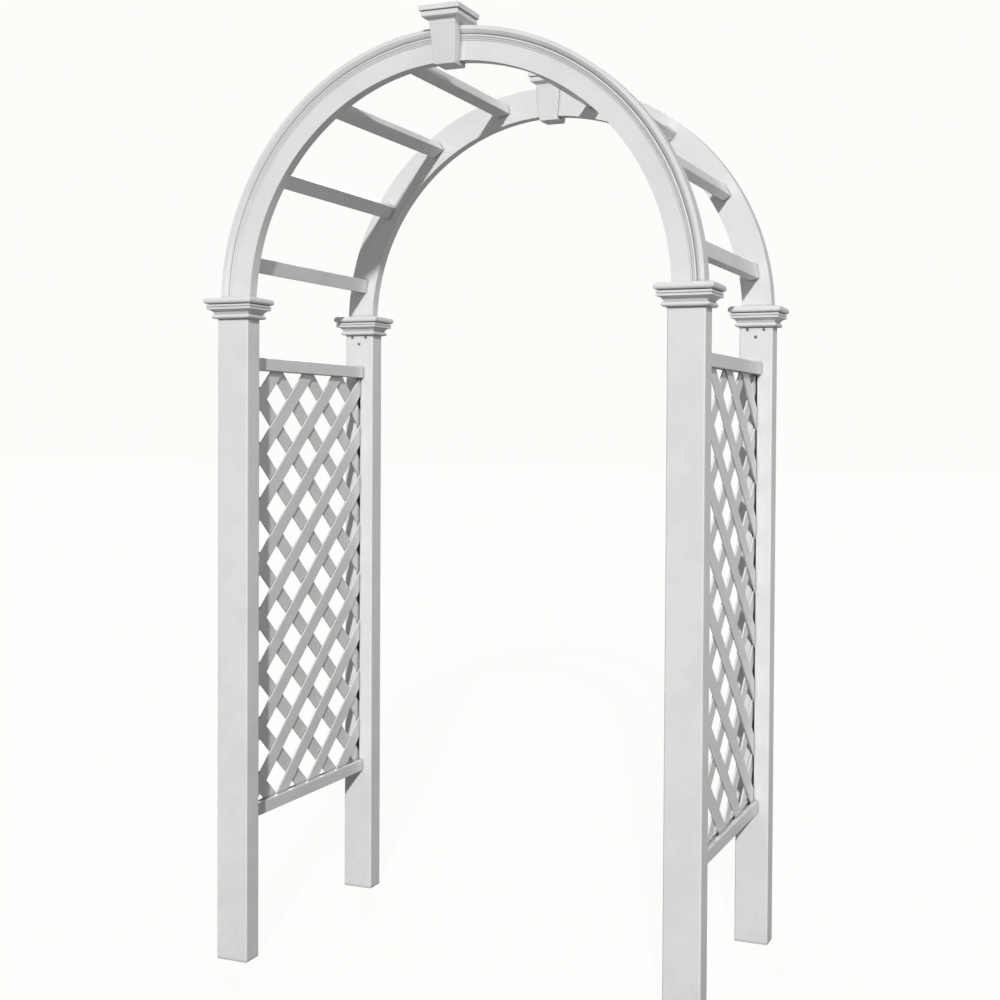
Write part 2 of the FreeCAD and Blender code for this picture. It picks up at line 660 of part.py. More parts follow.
# ---------------------------------------------------------------- the whole arch
for end in ENDS:
    for side in SIDES:
        post(side, end)
        leg_sleeve(side, end)
        capital(side, end)
        arch_half(side, end)
        leg_screws(side, end)
    crown_splice(end)
    crown_screws(end)
    keystone(end)
    keystone_cap(end)
for side in SIDES:
    for index in range(SIZES["rungs_per_side"]):
        rung(side, index)
    rail(side, "bottom_rail", "low_rail_bottom", "rail_height - rail_wall")
    rail(side, "top_rail", "top_rail_bottom", "-overcut")
    lattice_layer(side, "inner", -1, 1)
    lattice_layer(side, "outer", 1, -1)
doc.recompute()

for thing in doc.Objects:
    if any(word in thing.State for word in ("Invalid", "Error")):
        raise RuntimeError(f"{thing.Name} ({thing.Label}) failed: {thing.State}")
for thing in SUBPARTS:
    if thing.Shape.isNull() or not thing.Shape.isValid():
        raise RuntimeError(f"{thing.Label} has no valid shape")

os.makedirs("parts", exist_ok=True)
for thing in SUBPARTS:
    thing.Shape.exportStep(f"parts/{thing.Label}.step")
    print(f"{thing.Label}: {len(thing.Shape.Solids)} solid(s), {thing.Shape.Volume / 1000:.1f} cm3")
print(f"{len(SUBPARTS)} nodes")
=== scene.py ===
import bpy
import bmesh
import math
from mathutils import Matrix, Vector


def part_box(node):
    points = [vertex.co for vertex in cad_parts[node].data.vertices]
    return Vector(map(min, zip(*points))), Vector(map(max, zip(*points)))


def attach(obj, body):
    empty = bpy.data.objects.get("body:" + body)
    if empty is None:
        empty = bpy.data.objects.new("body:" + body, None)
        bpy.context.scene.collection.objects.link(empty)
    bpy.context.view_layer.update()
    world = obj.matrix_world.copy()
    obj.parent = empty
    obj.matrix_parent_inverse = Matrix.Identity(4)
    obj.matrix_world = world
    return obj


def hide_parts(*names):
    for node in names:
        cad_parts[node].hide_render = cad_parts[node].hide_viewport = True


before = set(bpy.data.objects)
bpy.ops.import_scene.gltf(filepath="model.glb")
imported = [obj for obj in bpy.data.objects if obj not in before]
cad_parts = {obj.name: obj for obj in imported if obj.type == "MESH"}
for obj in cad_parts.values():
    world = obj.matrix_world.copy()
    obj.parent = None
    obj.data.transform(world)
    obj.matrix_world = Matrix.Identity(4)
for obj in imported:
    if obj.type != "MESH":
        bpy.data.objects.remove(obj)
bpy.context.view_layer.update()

scene = bpy.context.scene
body = "root"
hands = {"left": -1, "right": 1}      # across the way through, X
ends = {"front": -1, "back": 1}       # along the way through, Y

# camera
cameraSetup = {
    "place": (1.496, -3.0753, 1.3319),
    "heading": 20.07,                 # degrees to the left of straight along +Y
    "tilt": -1.04,
    "roll": 0.41,
    "lens": 47.87,
    "shift": (-0.14, -0.044),
}


def makeCamera(setup):
    camera = bpy.data.objects.new("camera", bpy.data.cameras.new("camera"))
    scene.collection.objects.link(camera)
    camera.data.sensor_width = 36
    camera.data.lens = setup["lens"]
    camera.data.shift_x, camera.data.shift_y = setup["shift"]
    camera.data.clip_start = 0.05
    camera.data.clip_end = 200
    turn = Matrix.Rotation(math.radians(setup["heading"]), 4, "Z")
    lean = Matrix.Rotation(math.radians(90 + setup["tilt"]), 4, "X")
    spin = Matrix.Rotation(math.radians(setup["roll"]), 4, "Z")
    camera.matrix_world = Matrix.Translation(setup["place"]) @ turn @ lean @ spin
    scene.camera = camera


makeCamera(cameraSetup)
print("camera placed")

# sizes read from the frame
postLow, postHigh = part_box("post_back_right")
postWide = postHigh.x - postLow.x
postDeep = postHigh.y - postLow.y
postX = (postLow.x + postHigh.x) / 2
postY = (postLow.y + postHigh.y) / 2
postTop = postHigh.z
capitalLow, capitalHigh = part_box("capital_back_right")
archLow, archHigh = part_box("arch_back_right_half")
archOuter = archHigh.x
archInner = 2 * postX - archOuter
springZ = archHigh.z - archOuter
archDeep = archHigh.y - archLow.y
archInside = archDeep / 2             # inside face, from the arch's own middle
legBottom = archLow.z
fitGap = 0.0002


# drawing helpers, outlines are lists of (x, y) pairs
def arcPoints(centre, radius, fromDeg, toDeg, steps):
    angles = [math.radians(fromDeg + (toDeg - fromDeg) * i / steps) for i in range(steps + 1)]
    return [(centre[0] + radius * math.cos(a), centre[1] + radius * math.sin(a)) for a in angles]


def shallowArc(start, end, sag, steps):
    # an arc through start and end that stands sag to the left of the line between them
    a, b = Vector(start), Vector(end)
    half = (b - a).length / 2
    radius = (half ** 2 + sag ** 2) / (2 * abs(sag))
    side = Vector((-(b - a).y, (b - a).x)).normalized() * math.copysign(1, sag)
    centre = (a + b) / 2 - side * (radius - abs(sag))
    first = math.atan2(a.y - centre.y, a.x - centre.x)
    sweep = 2 * math.asin(min(half / radius, 1)) * -math.copysign(1, sag)
    angles = [first + sweep * i / steps for i in range(steps + 1)]
    return [(centre.x + radius * math.cos(t), centre.y + radius * math.sin(t)) for t in angles]


def underRound(start, run, rise, steps):
    # a quarter-round that leaves level and ends upright
    quarter = arcPoints((0, 0), 1, 0, 90, steps)
    return [(start[0] + run * b, start[1] + rise * (1 - a)) for a, b in quarter]


def roundCorners(outline, radius, steps=3, closed=True, sharpest=25):
    # rounds every corner that turns by more than sharpest degrees
    made = []
    count = len(outline)
    for i, point in enumerate(outline):
        here = Vector(point)
        if not closed and i in (0, count - 1):
            made.append(point)
            continue
        before = Vector(outline[i - 1]) - here
        after = Vector(outline[(i + 1) % count]) - here
        inner = before.angle(after)
        turn = math.pi - inner
        if math.degrees(turn) < sharpest:
            made.append(point)
            continue
        reach = min(radius * math.tan(turn / 2), before.length * 0.45, after.length * 0.45)
        start = here + before.normalized() * reach
        finish = here + after.normalized() * reach
        for k in range(steps + 1):
            t = k / steps
            bent = start * (1 - t) ** 2 + here * 2 * t * (1 - t) + finish * t ** 2
            made.append((bent.x, bent.y))
    return made


def roundedRectangle(halfX, halfY, radius, steps=4):
    made = []
    for cx, cy, start in ((1, 1, 0), (-1, 1, 90), (-1, -1, 180), (1, -1, 270)):
        centre = (cx * (halfX - radius), cy * (halfY - radius))
        made += arcPoints(centre, radius, start, start + 90, steps)
    return made


def meshFrom(name, rings, joinEnds=False, capEnds=True, uvSteps=None):
    # skins closed rings of equal length into a solid, or into a closed hoop when joinEnds
    bm = bmesh.new()
    rows = [[bm.verts.new(p) for p in ring] for ring in rings]
    count = len(rows[0])
    uv = bm.loops.layers.uv.new("follow") if uvSteps else None
    around = [0.0]
    if uvSteps:
        for i in range(count):
            around.append(around[-1] + (Vector(rings[0][(i + 1) % count]) - Vector(rings[0][i])).length)
    last = len(rows) if joinEnds else len(rows) - 1
    for r in range(last):
        low, high = rows[r], rows[(r + 1) % len(rows)]
        for i in range(count):
            j = (i + 1) % count
            face = bm.faces.new((low[i], low[j], high[j], high[i]))
            if uvSteps:
                spots = ((i, r), (i + 1, r), (i + 1, r + 1), (i, r + 1))
                for loop, (column, row) in zip(face.loops, spots):
                    loop[uv].uv = (around[column], uvSteps[row])
    if capEnds and not joinEnds:
        bm.faces.new(rows[0])
        bm.faces.new(rows[-1])
    bmesh.ops.recalc_face_normals(bm, faces=bm.faces)
    mesh = bpy.data.meshes.new(name)
    bm.to_mesh(mesh)
    bm.free()
    return mesh


def newObject(name, mesh):
    made = bpy.data.objects.new(name, mesh)
    scene.collection.objects.link(made)
    return made


def cutWith(piece, tool, operation="DIFFERENCE"):
    step = piece.modifiers.new("cut", "BOOLEAN")
    step.operation = operation
    step.solver = "EXACT"
    step.object = tool
    flatten(piece)
    dropObject(tool)


def flatten(piece):
    # keeps what the modifiers make as the piece's own mesh
    graph = bpy.context.evaluated_depsgraph_get()
    mesh = bpy.data.meshes.new_from_object(piece.evaluated_get(graph), depsgraph=graph)
    old = piece.data
    piece.modifiers.clear()
    piece.data = mesh
    bpy.data.meshes.remove(old)


def dropObject(thing):
    mesh = thing.data
    bpy.data.objects.remove(thing)
    bpy.data.meshes.remove(mesh)


def smooth(piece, angle=38):
    for face in piece.data.polygons:
        face.use_smooth = True
    piece.data.set_sharp_from_angle(angle=math.radians(angle))
    step = piece.modifiers.new("weighted", "WEIGHTED_NORMAL")
    step.keep_sharp = True
    flatten(piece)


def finishPiece(piece, material, slot, *nodes):
    smooth(piece)
    piece.data.materials.clear()
    piece.data.materials.append(material)
    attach(piece, body)
    if nodes:
        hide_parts(*nodes)


# shader groups shared by the vinyl finishes
def newGroup(name, inputs, outputs):
    tree = bpy.data.node_groups.new(name, "ShaderNodeTree")
    for label, kind, value in inputs:
        socket = tree.interface.new_socket(label, in_out="INPUT", socket_type=kind)
        if value is not None:
            socket.default_value = value
    for label, kind in outputs:
        tree.interface.new_socket(label, in_out="OUTPUT", socket_type=kind)
    return tree, tree.nodes.new("NodeGroupInput"), tree.nodes.new("NodeGroupOutput")


def wire(tree, source, target):
    tree.links.new(source, target)


def feed(tree, value, socket):
    # a link where value is another node's output, otherwise the socket's own value
    if isinstance(value, bpy.types.NodeSocket):
        wire(tree, value, socket)
    else:
        socket.default_value = value


def mathNode(tree, operation, a, b=0.0, clamp=False):
    # for shaders and geometry alike
    made = tree.nodes.new("ShaderNodeMath")
    made.operation = operation
    made.use_clamp = clamp
    for socket, value in zip(made.inputs, (a, b)):
        feed(tree, value, socket)
    return made.outputs[0]


def noiseNode(tree, vector, scale, detail=2.0, rough=0.5):
    node = tree.nodes.new("ShaderNodeTexNoise")
    node.inputs["Detail"].default_value = detail
    node.inputs["Roughness"].default_value = rough
    feed(tree, scale, node.inputs["Scale"])
    wire(tree, vector, node.inputs["Vector"])
    return node.outputs[0]


def stretchNode(tree, vector, scale):
    node = tree.nodes.new("ShaderNodeVectorMath")
    node.operation = "MULTIPLY"
    wire(tree, vector, node.inputs[0])
    node.inputs[1].default_value = scale
    return node.outputs[0]


def rangeNode(tree, value, low, high, toLow=0.0, toHigh=1.0):
    node = tree.nodes.new("ShaderNodeMapRange")
    node.interpolation_type = "SMOOTHSTEP"
    wire(tree, value, node.inputs["Value"])
    for label, number in (("From Min", low), ("From Max", high), ("To Min", toLow), ("To Max", toHigh)):
        node.inputs[label].default_value = number
    return node.outputs[0]


def vinylSkinGroup():
    # orange peel, the long faint lines that the die leaves, and the slow wave of a drawn wall
    tree, given, made = newGroup("vinylSkin", [
        ("Vector", "NodeSocketVector", None),
        ("Peel Scale", "NodeSocketFloat", 420.0),
        ("Line Depth", "NodeSocketFloat", 0.4),
    ], [("Height", "NodeSocketFloat"), ("Lines", "NodeSocketFloat"), ("Cloud", "NodeSocketFloat")])
    peel = noiseNode(tree, given.outputs["Vector"], given.outputs["Peel Scale"], 3.0, 0.55)
    drawn = stretchNode(tree, given.outputs["Vector"], (1.0, 1.0, 0.006))
    lines = noiseNode(tree, drawn, 520.0, 2.0, 0.6)
    wave = noiseNode(tree, stretchNode(tree, given.outputs["Vector"], (1.0, 1.0, 0.25)), 26.0, 1.0)
    cloud = noiseNode(tree, given.outputs["Vector"], 9.0, 4.0, 0.6)
    deep = mathNode(tree, "MULTIPLY", lines, given.outputs["Line Depth"])
    total = mathNode(tree, "ADD", mathNode(tree, "MULTIPLY", peel, 0.45), deep)
    total = mathNode(tree, "ADD", total, mathNode(tree, "MULTIPLY", wave, 1.4))
    wire(tree, total, made.inputs["Height"])
    wire(tree, lines, made.inputs["Lines"])
    wire(tree, cloud, made.inputs["Cloud"])
    return tree


def dustAndCreaseShadeGroup():
    # a thin film of dust, more near the ground and on faces that look up; and painted shade in creases, from ambient
    # occlusion
    tree, given, made = newGroup("dustAndCreaseShade", [
        ("Vector", "NodeSocketVector", None),
        ("Cloud", "NodeSocketFloat", 0.5),
        ("Splash Height", "NodeSocketFloat", 0.22),
        ("Crease Size", "NodeSocketFloat", 0.010),
    ], [("Film", "NodeSocketFloat"), ("Crease Shade", "NodeSocketFloat")])
    split = tree.nodes.new("ShaderNodeSeparateXYZ")
    wire(tree, given.outputs["Vector"], split.inputs[0])
    rise = mathNode(tree, "DIVIDE", split.outputs["Z"], given.outputs["Splash Height"])
    splash = rangeNode(tree, rise, 0.0, 1.0, 1.0, 0.0)
    fleck = rangeNode(tree, noiseNode(tree, given.outputs["Vector"], 75.0, 5.0, 0.65), 0.46, 0.72)
    splash = mathNode(tree, "MULTIPLY", splash, fleck)
    geometry = tree.nodes.new("ShaderNodeNewGeometry")
    facing = tree.nodes.new("ShaderNodeSeparateXYZ")
    wire(tree, geometry.outputs["Normal"], facing.inputs[0])
    level = rangeNode(tree, facing.outputs["Z"], 0.6, 1.0, 0.0, 0.5)
    level = mathNode(tree, "MULTIPLY", level, rangeNode(tree, given.outputs["Cloud"], 0.35, 0.65))
    film = mathNode(tree, "ADD", splash, level, clamp=True)
    # painted shade: ambient occlusion over a short reach marks creases and recesses, which the material then darkens
    creaseShade = tree.nodes.new("ShaderNodeAmbientOcclusion")
    creaseShade.samples = 6
    wire(tree, given.outputs["Crease Size"], creaseShade.inputs["Distance"])
    wire(tree, film, made.inputs["Film"])
    wire(tree, rangeNode(tree, creaseShade.outputs["AO"], 0.35, 0.95, 1.0, 0.0), made.inputs["Crease Shade"])
    return tree


vinylSkin = vinylSkinGroup()
dustAndCreaseShade = dustAndCreaseShadeGroup()

vinylLook = {
    "white": (0.80, 0.80, 0.795, 1),
    "cloudTint": (0.765, 0.765, 0.755, 1),
    "dust": (0.47, 0.46, 0.43, 1),
    # painted shade colour, mixed into creases
    "creaseShadeTint": (0.24, 0.24, 0.24, 1),
    "filmShare": 0.22,
    # how strongly creases take the painted shade
    "creaseShadeShare": 0.80,
    "roughness": (0.33, 0.45),
    "bumpDepth": 0.00009,
}


def mixColour(tree, share, first, second):
    node = tree.nodes.new("ShaderNodeMix")
    node.data_type = "RGBA"
    for index, value in ((0, share), (6, first), (7, second)):
        feed(tree, value, node.inputs[index])
    return node.outputs[2]


def newMaterial(name):
    material = bpy.data.materials.new(name)
    material.use_nodes = True
    tree = material.node_tree
    return material, tree, tree.nodes["Principled BSDF"]


def vinyl(name, turn=(0, 0, 0), peelScale=420.0, lineDepth=0.4, followSurface=False):
    # turn swings the drawn lines from Z to the way that the piece was drawn
    material, tree, shader = newMaterial(name)
    coordinates = tree.nodes.new("ShaderNodeTexCoord")
    mapping = tree.nodes.new("ShaderNodeMapping")
    mapping.inputs["Rotation"].default_value = [math.radians(a) for a in turn]
    wire(tree, coordinates.outputs["UV" if followSurface else "Object"], mapping.inputs["Vector"])
    skin = tree.nodes.new("ShaderNodeGroup")
    skin.node_tree = vinylSkin
    skin.inputs["Peel Scale"].default_value = peelScale
    skin.inputs["Line Depth"].default_value = lineDepth
    wire(tree, mapping.outputs["Vector"], skin.inputs["Vector"])
    filmAndShade = tree.nodes.new("ShaderNodeGroup")
    filmAndShade.node_tree = dustAndCreaseShade
    wire(tree, coordinates.outputs["Object"], filmAndShade.inputs["Vector"])
    wire(tree, skin.outputs["Cloud"], filmAndShade.inputs["Cloud"])
    cloudShare = rangeNode(tree, skin.outputs["Cloud"], 0.4, 0.62)
    colour = mixColour(tree, cloudShare, vinylLook["white"], vinylLook["cloudTint"])
    filmShare = mathNode(tree, "MULTIPLY", filmAndShade.outputs["Film"], vinylLook["filmShare"])
    colour = mixColour(tree, filmShare, colour, vinylLook["dust"])
    # painted shade: creases darkened towards a dark grey, standing in for the shade that falls there
    creaseShadeShare = mathNode(tree, "MULTIPLY", filmAndShade.outputs["Crease Shade"], vinylLook["creaseShadeShare"])
    colour = mixColour(tree, creaseShadeShare, colour, vinylLook["creaseShadeTint"])
    wire(tree, colour, shader.inputs["Base Color"])
    low, high = vinylLook["roughness"]
    wire(tree, rangeNode(tree, skin.outputs["Lines"], 0.3, 0.7, low, high), shader.inputs["Roughness"])
    bump = tree.nodes.new("ShaderNodeBump")
    bump.inputs["Strength"].default_value = 0.5
    bump.inputs["Distance"].default_value = vinylLook["bumpDepth"]
    wire(tree, skin.outputs["Height"], bump.inputs["Height"])
    wire(tree, bump.outputs["Normal"], shader.inputs["Normal"])
    shader.inputs["IOR"].default_value = 1.5
    return material


steelLook = {
    "zinc": (0.34, 0.34, 0.35, 1),
    "dull": (0.16, 0.155, 0.15, 1),
}


def zincSteel():
    material, tree, shader = newMaterial("zincSteel")
    coordinates = tree.nodes.new("ShaderNodeTexCoord")
    spots = noiseNode(tree, coordinates.outputs["Object"], 700.0, 5.0, 0.7)
    share = rangeNode(tree, spots, 0.4, 0.65)
    wire(tree, mixColour(tree, share, steelLook["zinc"], steelLook["dull"]), shader.inputs["Base Color"])
    wire(tree, rangeNode(tree, spots, 0.3, 0.7, 0.32, 0.55), shader.inputs["Roughness"])
    shader.inputs["Metallic"].default_value = 1.0
    bump = tree.nodes.new("ShaderNodeBump")
    bump.inputs["Distance"].default_value = 0.00004
    wire(tree, spots, bump.inputs["Height"])
    wire(tree, bump.outputs["Normal"], shader.inputs["Normal"])
    return material


postVinyl = vinyl("postVinyl")
railVinyl = vinyl("railVinyl", turn=(90, 0, 0))
riseVinyl = vinyl("riseVinyl", turn=(45, 0, 0), lineDepth=0.6)
fallVinyl = vinyl("fallVinyl", turn=(-45, 0, 0), lineDepth=0.6)
archVinyl = vinyl("archVinyl", turn=(90, 0, 0), followSurface=True)
mouldedVinyl = vinyl("mouldedVinyl", peelScale=300.0, lineDepth=0.0)
insertVinyl = vinyl("insertVinyl", peelScale=240.0, lineDepth=0.1)
steel = zincSteel()
print("finishes made")

# posts: hollow drawn tubes with mortises for the rails, a slot for the lattice and screw holes
postShape = {
    "wall": 0.003,
    "corner": 0.004,
    "innerCorner": 0.0015,
    "endEase": 0.0005,                # softened edge of the sawn ends
    "slotGap": 0.0005,
    "slotOver": 0.004,                # how far the slot runs past the rails' inner faces
    "mortiseDeep": 0.012,
    "holeRadius": 0.0023,
    "holeSides": 20,
}
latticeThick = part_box("lattice_right_outer")[1].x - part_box("lattice_right_inner")[0].x


def flatRing(outline, z, dx=0.0, dy=0.0):
    return [(x + dx, y + dy, z) for x, y in outline]


def boxMesh(name, low, high):
    corners = [(low[0], low[1]), (high[0], low[1]), (high[0], high[1]), (low[0], high[1])]
    return meshFrom(name, [flatRing(corners, low[2]), flatRing(corners, high[2])])


def joinTools(name, meshes):
    bm = bmesh.new()
    for mesh in meshes:
        bm.from_mesh(mesh)
        bpy.data.meshes.remove(mesh)
    joined = bpy.data.meshes.new(name)
    bm.to_mesh(joined)
    bm.free()
    return newObject(name, joined)


def screwPlaces(side, end):
    # the heads of one post's screws, on its inner face: the middles of three round solids
    low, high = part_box(f"leg_screws_{end}_{side}")
    middle = (low.x + high.x) / 2
    headRadius = screwShape["headRadius"]
    face = ends[end] * (postY - postDeep / 2)
    upper, lower = high.z - headRadius, low.z + headRadius
    return [
        Vector((low.x + headRadius, face, upper)),
        Vector((high.x - headRadius, face, upper)),
        Vector((middle, face, lower)),
    ]


screwShape = {
    "headRadius": 0.004,
    "headHeight": 0.0024,
    "shankRadius": 0.002,
    "shankLength": 0.016,
    "recessWide": 0.0011,
    "recessLong": 0.0048,
    "recessDeep": 0.0014,
    "turns": 28,
}


def makePost(side, end):
    name = f"post{end.title()}{side.title()}"
    x, y = hands[side] * postX, ends[end] * postY
    wall, ease = postShape["wall"], postShape["endEase"]

    def outer(inset):
        return roundedRectangle(postWide / 2 - inset, postDeep / 2 - inset, postShape["corner"] - inset, 6)

    def inner(inset):
        return roundedRectangle(postWide / 2 - wall + inset, postDeep / 2 - wall + inset,
                                postShape["innerCorner"] + inset, 6)

    rings = [
        flatRing(outer(ease), 0, x, y), flatRing(outer(0), ease, x, y),
        flatRing(outer(0), postTop - ease, x, y), flatRing(outer(ease), postTop, x, y),
        flatRing(inner(ease), postTop, x, y), flatRing(inner(0), postTop - ease, x, y),
        flatRing(inner(0), ease, x, y), flatRing(inner(ease), 0, x, y),
    ]
    piece = newObject(name, meshFrom(name, rings, joinEnds=True))
    face = ends[end] * (postY - postDeep / 2)
    deep = -ends[end] * postShape["mortiseDeep"]
    near, far = sorted((face + deep, face - deep))
    tools = []
    for rail in ("bottom_rail", "top_rail"):
        low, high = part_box(f"{rail}_{side}")
        tools.append(boxMesh(rail, (low.x - fitGap, near, low.z - fitGap),
                             (high.x + fitGap, far, high.z + fitGap)))
    piece = cutOut(piece, tools)
    half = latticeThick / 2 + postShape["slotGap"]
    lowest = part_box(f"bottom_rail_{side}")[1].z - postShape["slotOver"]
    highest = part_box(f"top_rail_{side}")[0].z + postShape["slotOver"]
    piece = cutOut(piece, [boxMesh("slot", (x - half, near, lowest), (x + half, far, highest))])
    holes = []
    for place in screwPlaces(side, end):
        rim = arcPoints((place.x, place.z), postShape["holeRadius"], 0, 360, postShape["holeSides"])[:-1]
        holes.append(meshFrom("hole", [[(a, depth, b) for a, b in rim] for depth in (near, far)]))
    piece = cutOut(piece, holes)
    finishPiece(piece, postVinyl, "white_vinyl", f"post_{end}_{side}")


def cutOut(piece, meshes):
    cutWith(piece, joinTools("tool", meshes))
    return piece


for side in hands:
    for end in ends:
        makePost(side, end)
print("posts made")

# capitals: a moulded collar, the same profile along four mitred sides
capitalShape = {
    "foot": 0.0055,                   # beyond the post's face
    "bead": 0.0105,
    "beadStep": 0.0015,
    "cove": 0.0105,
    "coveOut": 0.0122,
    "coveDeep": 0.0022,
    "coveStep": 0.0022,
    "band": 0.0137,
    "groove": 0.0016,
    "grooveDeep": 0.0020,
    "quirk": 0.0018,                  # slit between the band and the slab
    "quirkDeep": 0.0045,
    "slab": 0.0168,
    "slabProud": 0.025,
    "slabUnder": 0.0065,
    "slabNose": 0.0068,
    "slabCrown": 0.010,
    "plate": 0.005,
    "mouthGap": 0.0006,
    "mouthEdge": 0.0005,
    "mouthCorner": 0.0012,
    "boreCorner": 0.0035,
    "edge": 0.0006,
    "mitre": 0.0009,                  # softening of the mitred corners
    "mitreGrow": 0.02,                # how much of the moulding's reach is added to it
}


def capitalProfile(shape):
    foot, bead = shape["foot"], shape["bead"]
    coveLow = bead + shape["beadStep"]
    coveHigh = coveLow + shape["cove"]
    bandOut = foot + shape["coveOut"] + shape["coveStep"]
    grooveLow = coveHigh + (shape["band"] - shape["quirk"] - shape["groove"]) / 2
    slabLow = coveHigh + shape["band"]
    nose = slabLow + shape["slabNose"]
    proud, under = shape["slabProud"], shape["slabUnder"]
    line = arcPoints((foot, bead / 2), bead / 2, -90, 90, 12)
    line += shallowArc((foot + 0.0005, coveLow), (foot + shape["coveOut"], coveHigh), shape["coveDeep"], 10)
    line += [(bandOut, coveHigh), (bandOut, grooveLow)]
    grooveHigh, grooveIn = grooveLow + shape["groove"], bandOut - shape["grooveDeep"]
    line += [(grooveIn, grooveLow), (grooveIn, grooveHigh), (bandOut, grooveHigh)]
    quirkLow, quirkIn = slabLow - shape["quirk"], bandOut - shape["quirkDeep"]
    line += [(bandOut, quirkLow), (quirkIn, quirkLow), (quirkIn, slabLow)]
    line += underRound((proud - under, slabLow), under, shape["slabNose"], 8)
    crown, rise = shape["slabCrown"], shape["slab"] - shape["slabNose"]
    quarter = arcPoints((0, 0), 1, 0, 90, 10)[1:]
    line += [(proud - crown * (1 - a), nose + rise * b) for a, b in quarter]
    return roundCorners(line, shape["edge"], 3, closed=False)


def hoopRing(halfX, halfY, radius, z, x, y):
    return flatRing(roundedRectangle(halfX, halfY, radius, 4), z, x, y)


def makeCapital(side, end):
    name = f"capital{end.title()}{side.title()}"
    shape = capitalShape
    x, y = hands[side] * postX, ends[end] * postY
    base = capitalLow.z
    rings = []
    for out, up in capitalProfile(shape):
        mitre = shape["mitre"] + out * shape["mitreGrow"]
        rings.append(hoopRing(postWide / 2 + out, postDeep / 2 + out, mitre, base + up, x, y))
    top = capitalHigh.z
    mouthX = (archOuter - archInner) / 2 + shape["mouthGap"]
    mouthY = archDeep / 2 + shape["mouthGap"]
    edge, plateLow = shape["mouthEdge"], top - shape["plate"]
    for grow, z in ((edge, top), (0, top - edge), (0, plateLow)):
        rings.append(hoopRing(mouthX + grow, mouthY + grow, shape["mouthCorner"], z, x, y))
    for z in (plateLow, base):
        rings.append(hoopRing(postWide / 2 + fitGap, postDeep / 2 + fitGap, shape["boreCorner"], z, x, y))
    piece = newObject(name, meshFrom(name, rings, joinEnds=True))
    finishPiece(piece, mouldedVinyl, "white_vinyl", f"capital_{end}_{side}")


for side in hands:
    for end in ends:
        makeCapital(side, end)
print("capitals made")

# arches: one moulded section drawn round the bend and down the leg
archShape = {
    "mouldingProud": 0.009,           # outer band in front of the flat
    "band": 0.0098,
    "fall": 0.0095,                   # slope that falls away inside the band
    "fallStart": 0.0008,
    "fallDeep": 0.0084,
    "bead": 0.0060,
    "beadRise": 0.0034,
    "slope": 0.0052,
    "slopeDeep": 0.0042,
    "lip": 0.0036,
    "lipProud": 0.0020,
    "fallSag": 0.0009,
    "slopeSag": 0.0005,
    "lipSag": 0.0008,
    "step": 0.0008,                   # upright start of the bead and the lip
    "ease": 0.0002,                   # keeps one moulding's start clear of the last one's end
    "sidesFrom": 0.03,                # from the section's middle: points beyond it are on its sides
    "edge": 0.0007,
    "bendSteps": 90,
}
archFlat = archShape["mouldingProud"] - archDeep / 2


def archSection(shape, grow=0.0):
    # (radius, depth), depth grows from the moulded front to the plain inside face
    front = -archDeep / 2
    band = archOuter - shape["band"]
    fall = band - shape["fall"]
    quirk = front + shape["fallDeep"]
    bead = fall - shape["bead"]
    beadTop = quirk - shape["beadRise"]
    slope = bead - shape["slope"]
    lip = slope - shape["lip"]
    lipTop = archFlat - shape["lipProud"]
    line = [(archInner, archInside), (archOuter, archInside), (archOuter, front), (band, front)]
    step, ease = shape["step"], shape["ease"]
    line += shallowArc((band, front + shape["fallStart"]), (fall, quirk), shape["fallSag"], 8)
    line += shallowArc((fall - ease, quirk - step), (bead, quirk - step), shape["beadRise"] - step, 8)
    line += shallowArc((bead - ease, beadTop + 2 * step), (slope, beadTop + shape["slopeDeep"]), shape["slopeSag"], 6)
    line += shallowArc((slope - ease, lipTop + step), (lip, archFlat), shape["lipSag"], 5)
    line += [(archInner, archFlat)]
    middle = (archInner + archOuter) / 2
    grown = []
    for r, d in line:
        onSide = abs(r - middle) > shape["sidesFrom"]
        grown.append((r + math.copysign(grow, r - middle) if onSide else r,
                      d - grow if d < archInside else d + grow))
    return roundCorners(grown, shape["edge"], 3, sharpest=35)


def archRings(section, hand, facing, fromDeg, steps, legTo=None):
    # from fromDeg at one end round to the springing, then straight down to legTo
    rings, lengths = [], []
    middle = (archInner + archOuter) / 2
    centreY = -facing * postY
    for i in range(steps + 1):
        angle = math.radians(fromDeg * (1 - i / steps))
        rings.append([(hand * r * math.cos(angle), centreY + facing * d, springZ + r * math.sin(angle))
                      for r, d in section])
        lengths.append(middle * (math.radians(fromDeg) - angle))
    if legTo is not None:
        for part in (0.25, 0.5, 0.75, 1.0):
            z = springZ + (legTo - springZ) * part
            rings.append([(hand * r, centreY + facing * d, z) for r, d in section])
            lengths.append(middle * math.radians(fromDeg) + springZ - z)
    return rings, lengths


rungShape = {
    "corner": 0.002,
    "angleFirst": 10.4,               # degrees above the springing
    "angleLast": 76.4,
    "perSide": 4,
    "wide": 0.038,
    "thick": 0.025,
}
rungLow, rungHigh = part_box("rung_right_1")
rungLength = rungHigh.y - rungLow.y
rungStep = (rungShape["angleLast"] - rungShape["angleFirst"]) / (rungShape["perSide"] - 1)


def rungPocket(hand, facing, degrees):
    angle = math.radians(degrees)
    outward = Vector((hand * math.cos(angle), 0, math.sin(angle)))
    along = Vector((-hand * math.sin(angle), 0, math.cos(angle)))
    middle = outward * postX + Vector((0, 0, springZ))
    near, far = -facing * (rungLength / 2 + fitGap), -facing * (postY - archInside - 0.004)
    halfThick = rungShape["thick"] / 2 + fitGap
    halfWide = rungShape["wide"] / 2 + fitGap
    rings = []
    for y in (near, far):
        ring = []
        for a, b in ((-1, -1), (1, -1), (1, 1), (-1, 1)):
            spot = middle + outward * a * halfThick + along * b * halfWide
            ring.append((spot.x, y, spot.z))
        rings.append(ring)
    return meshFrom("pocket", rings)


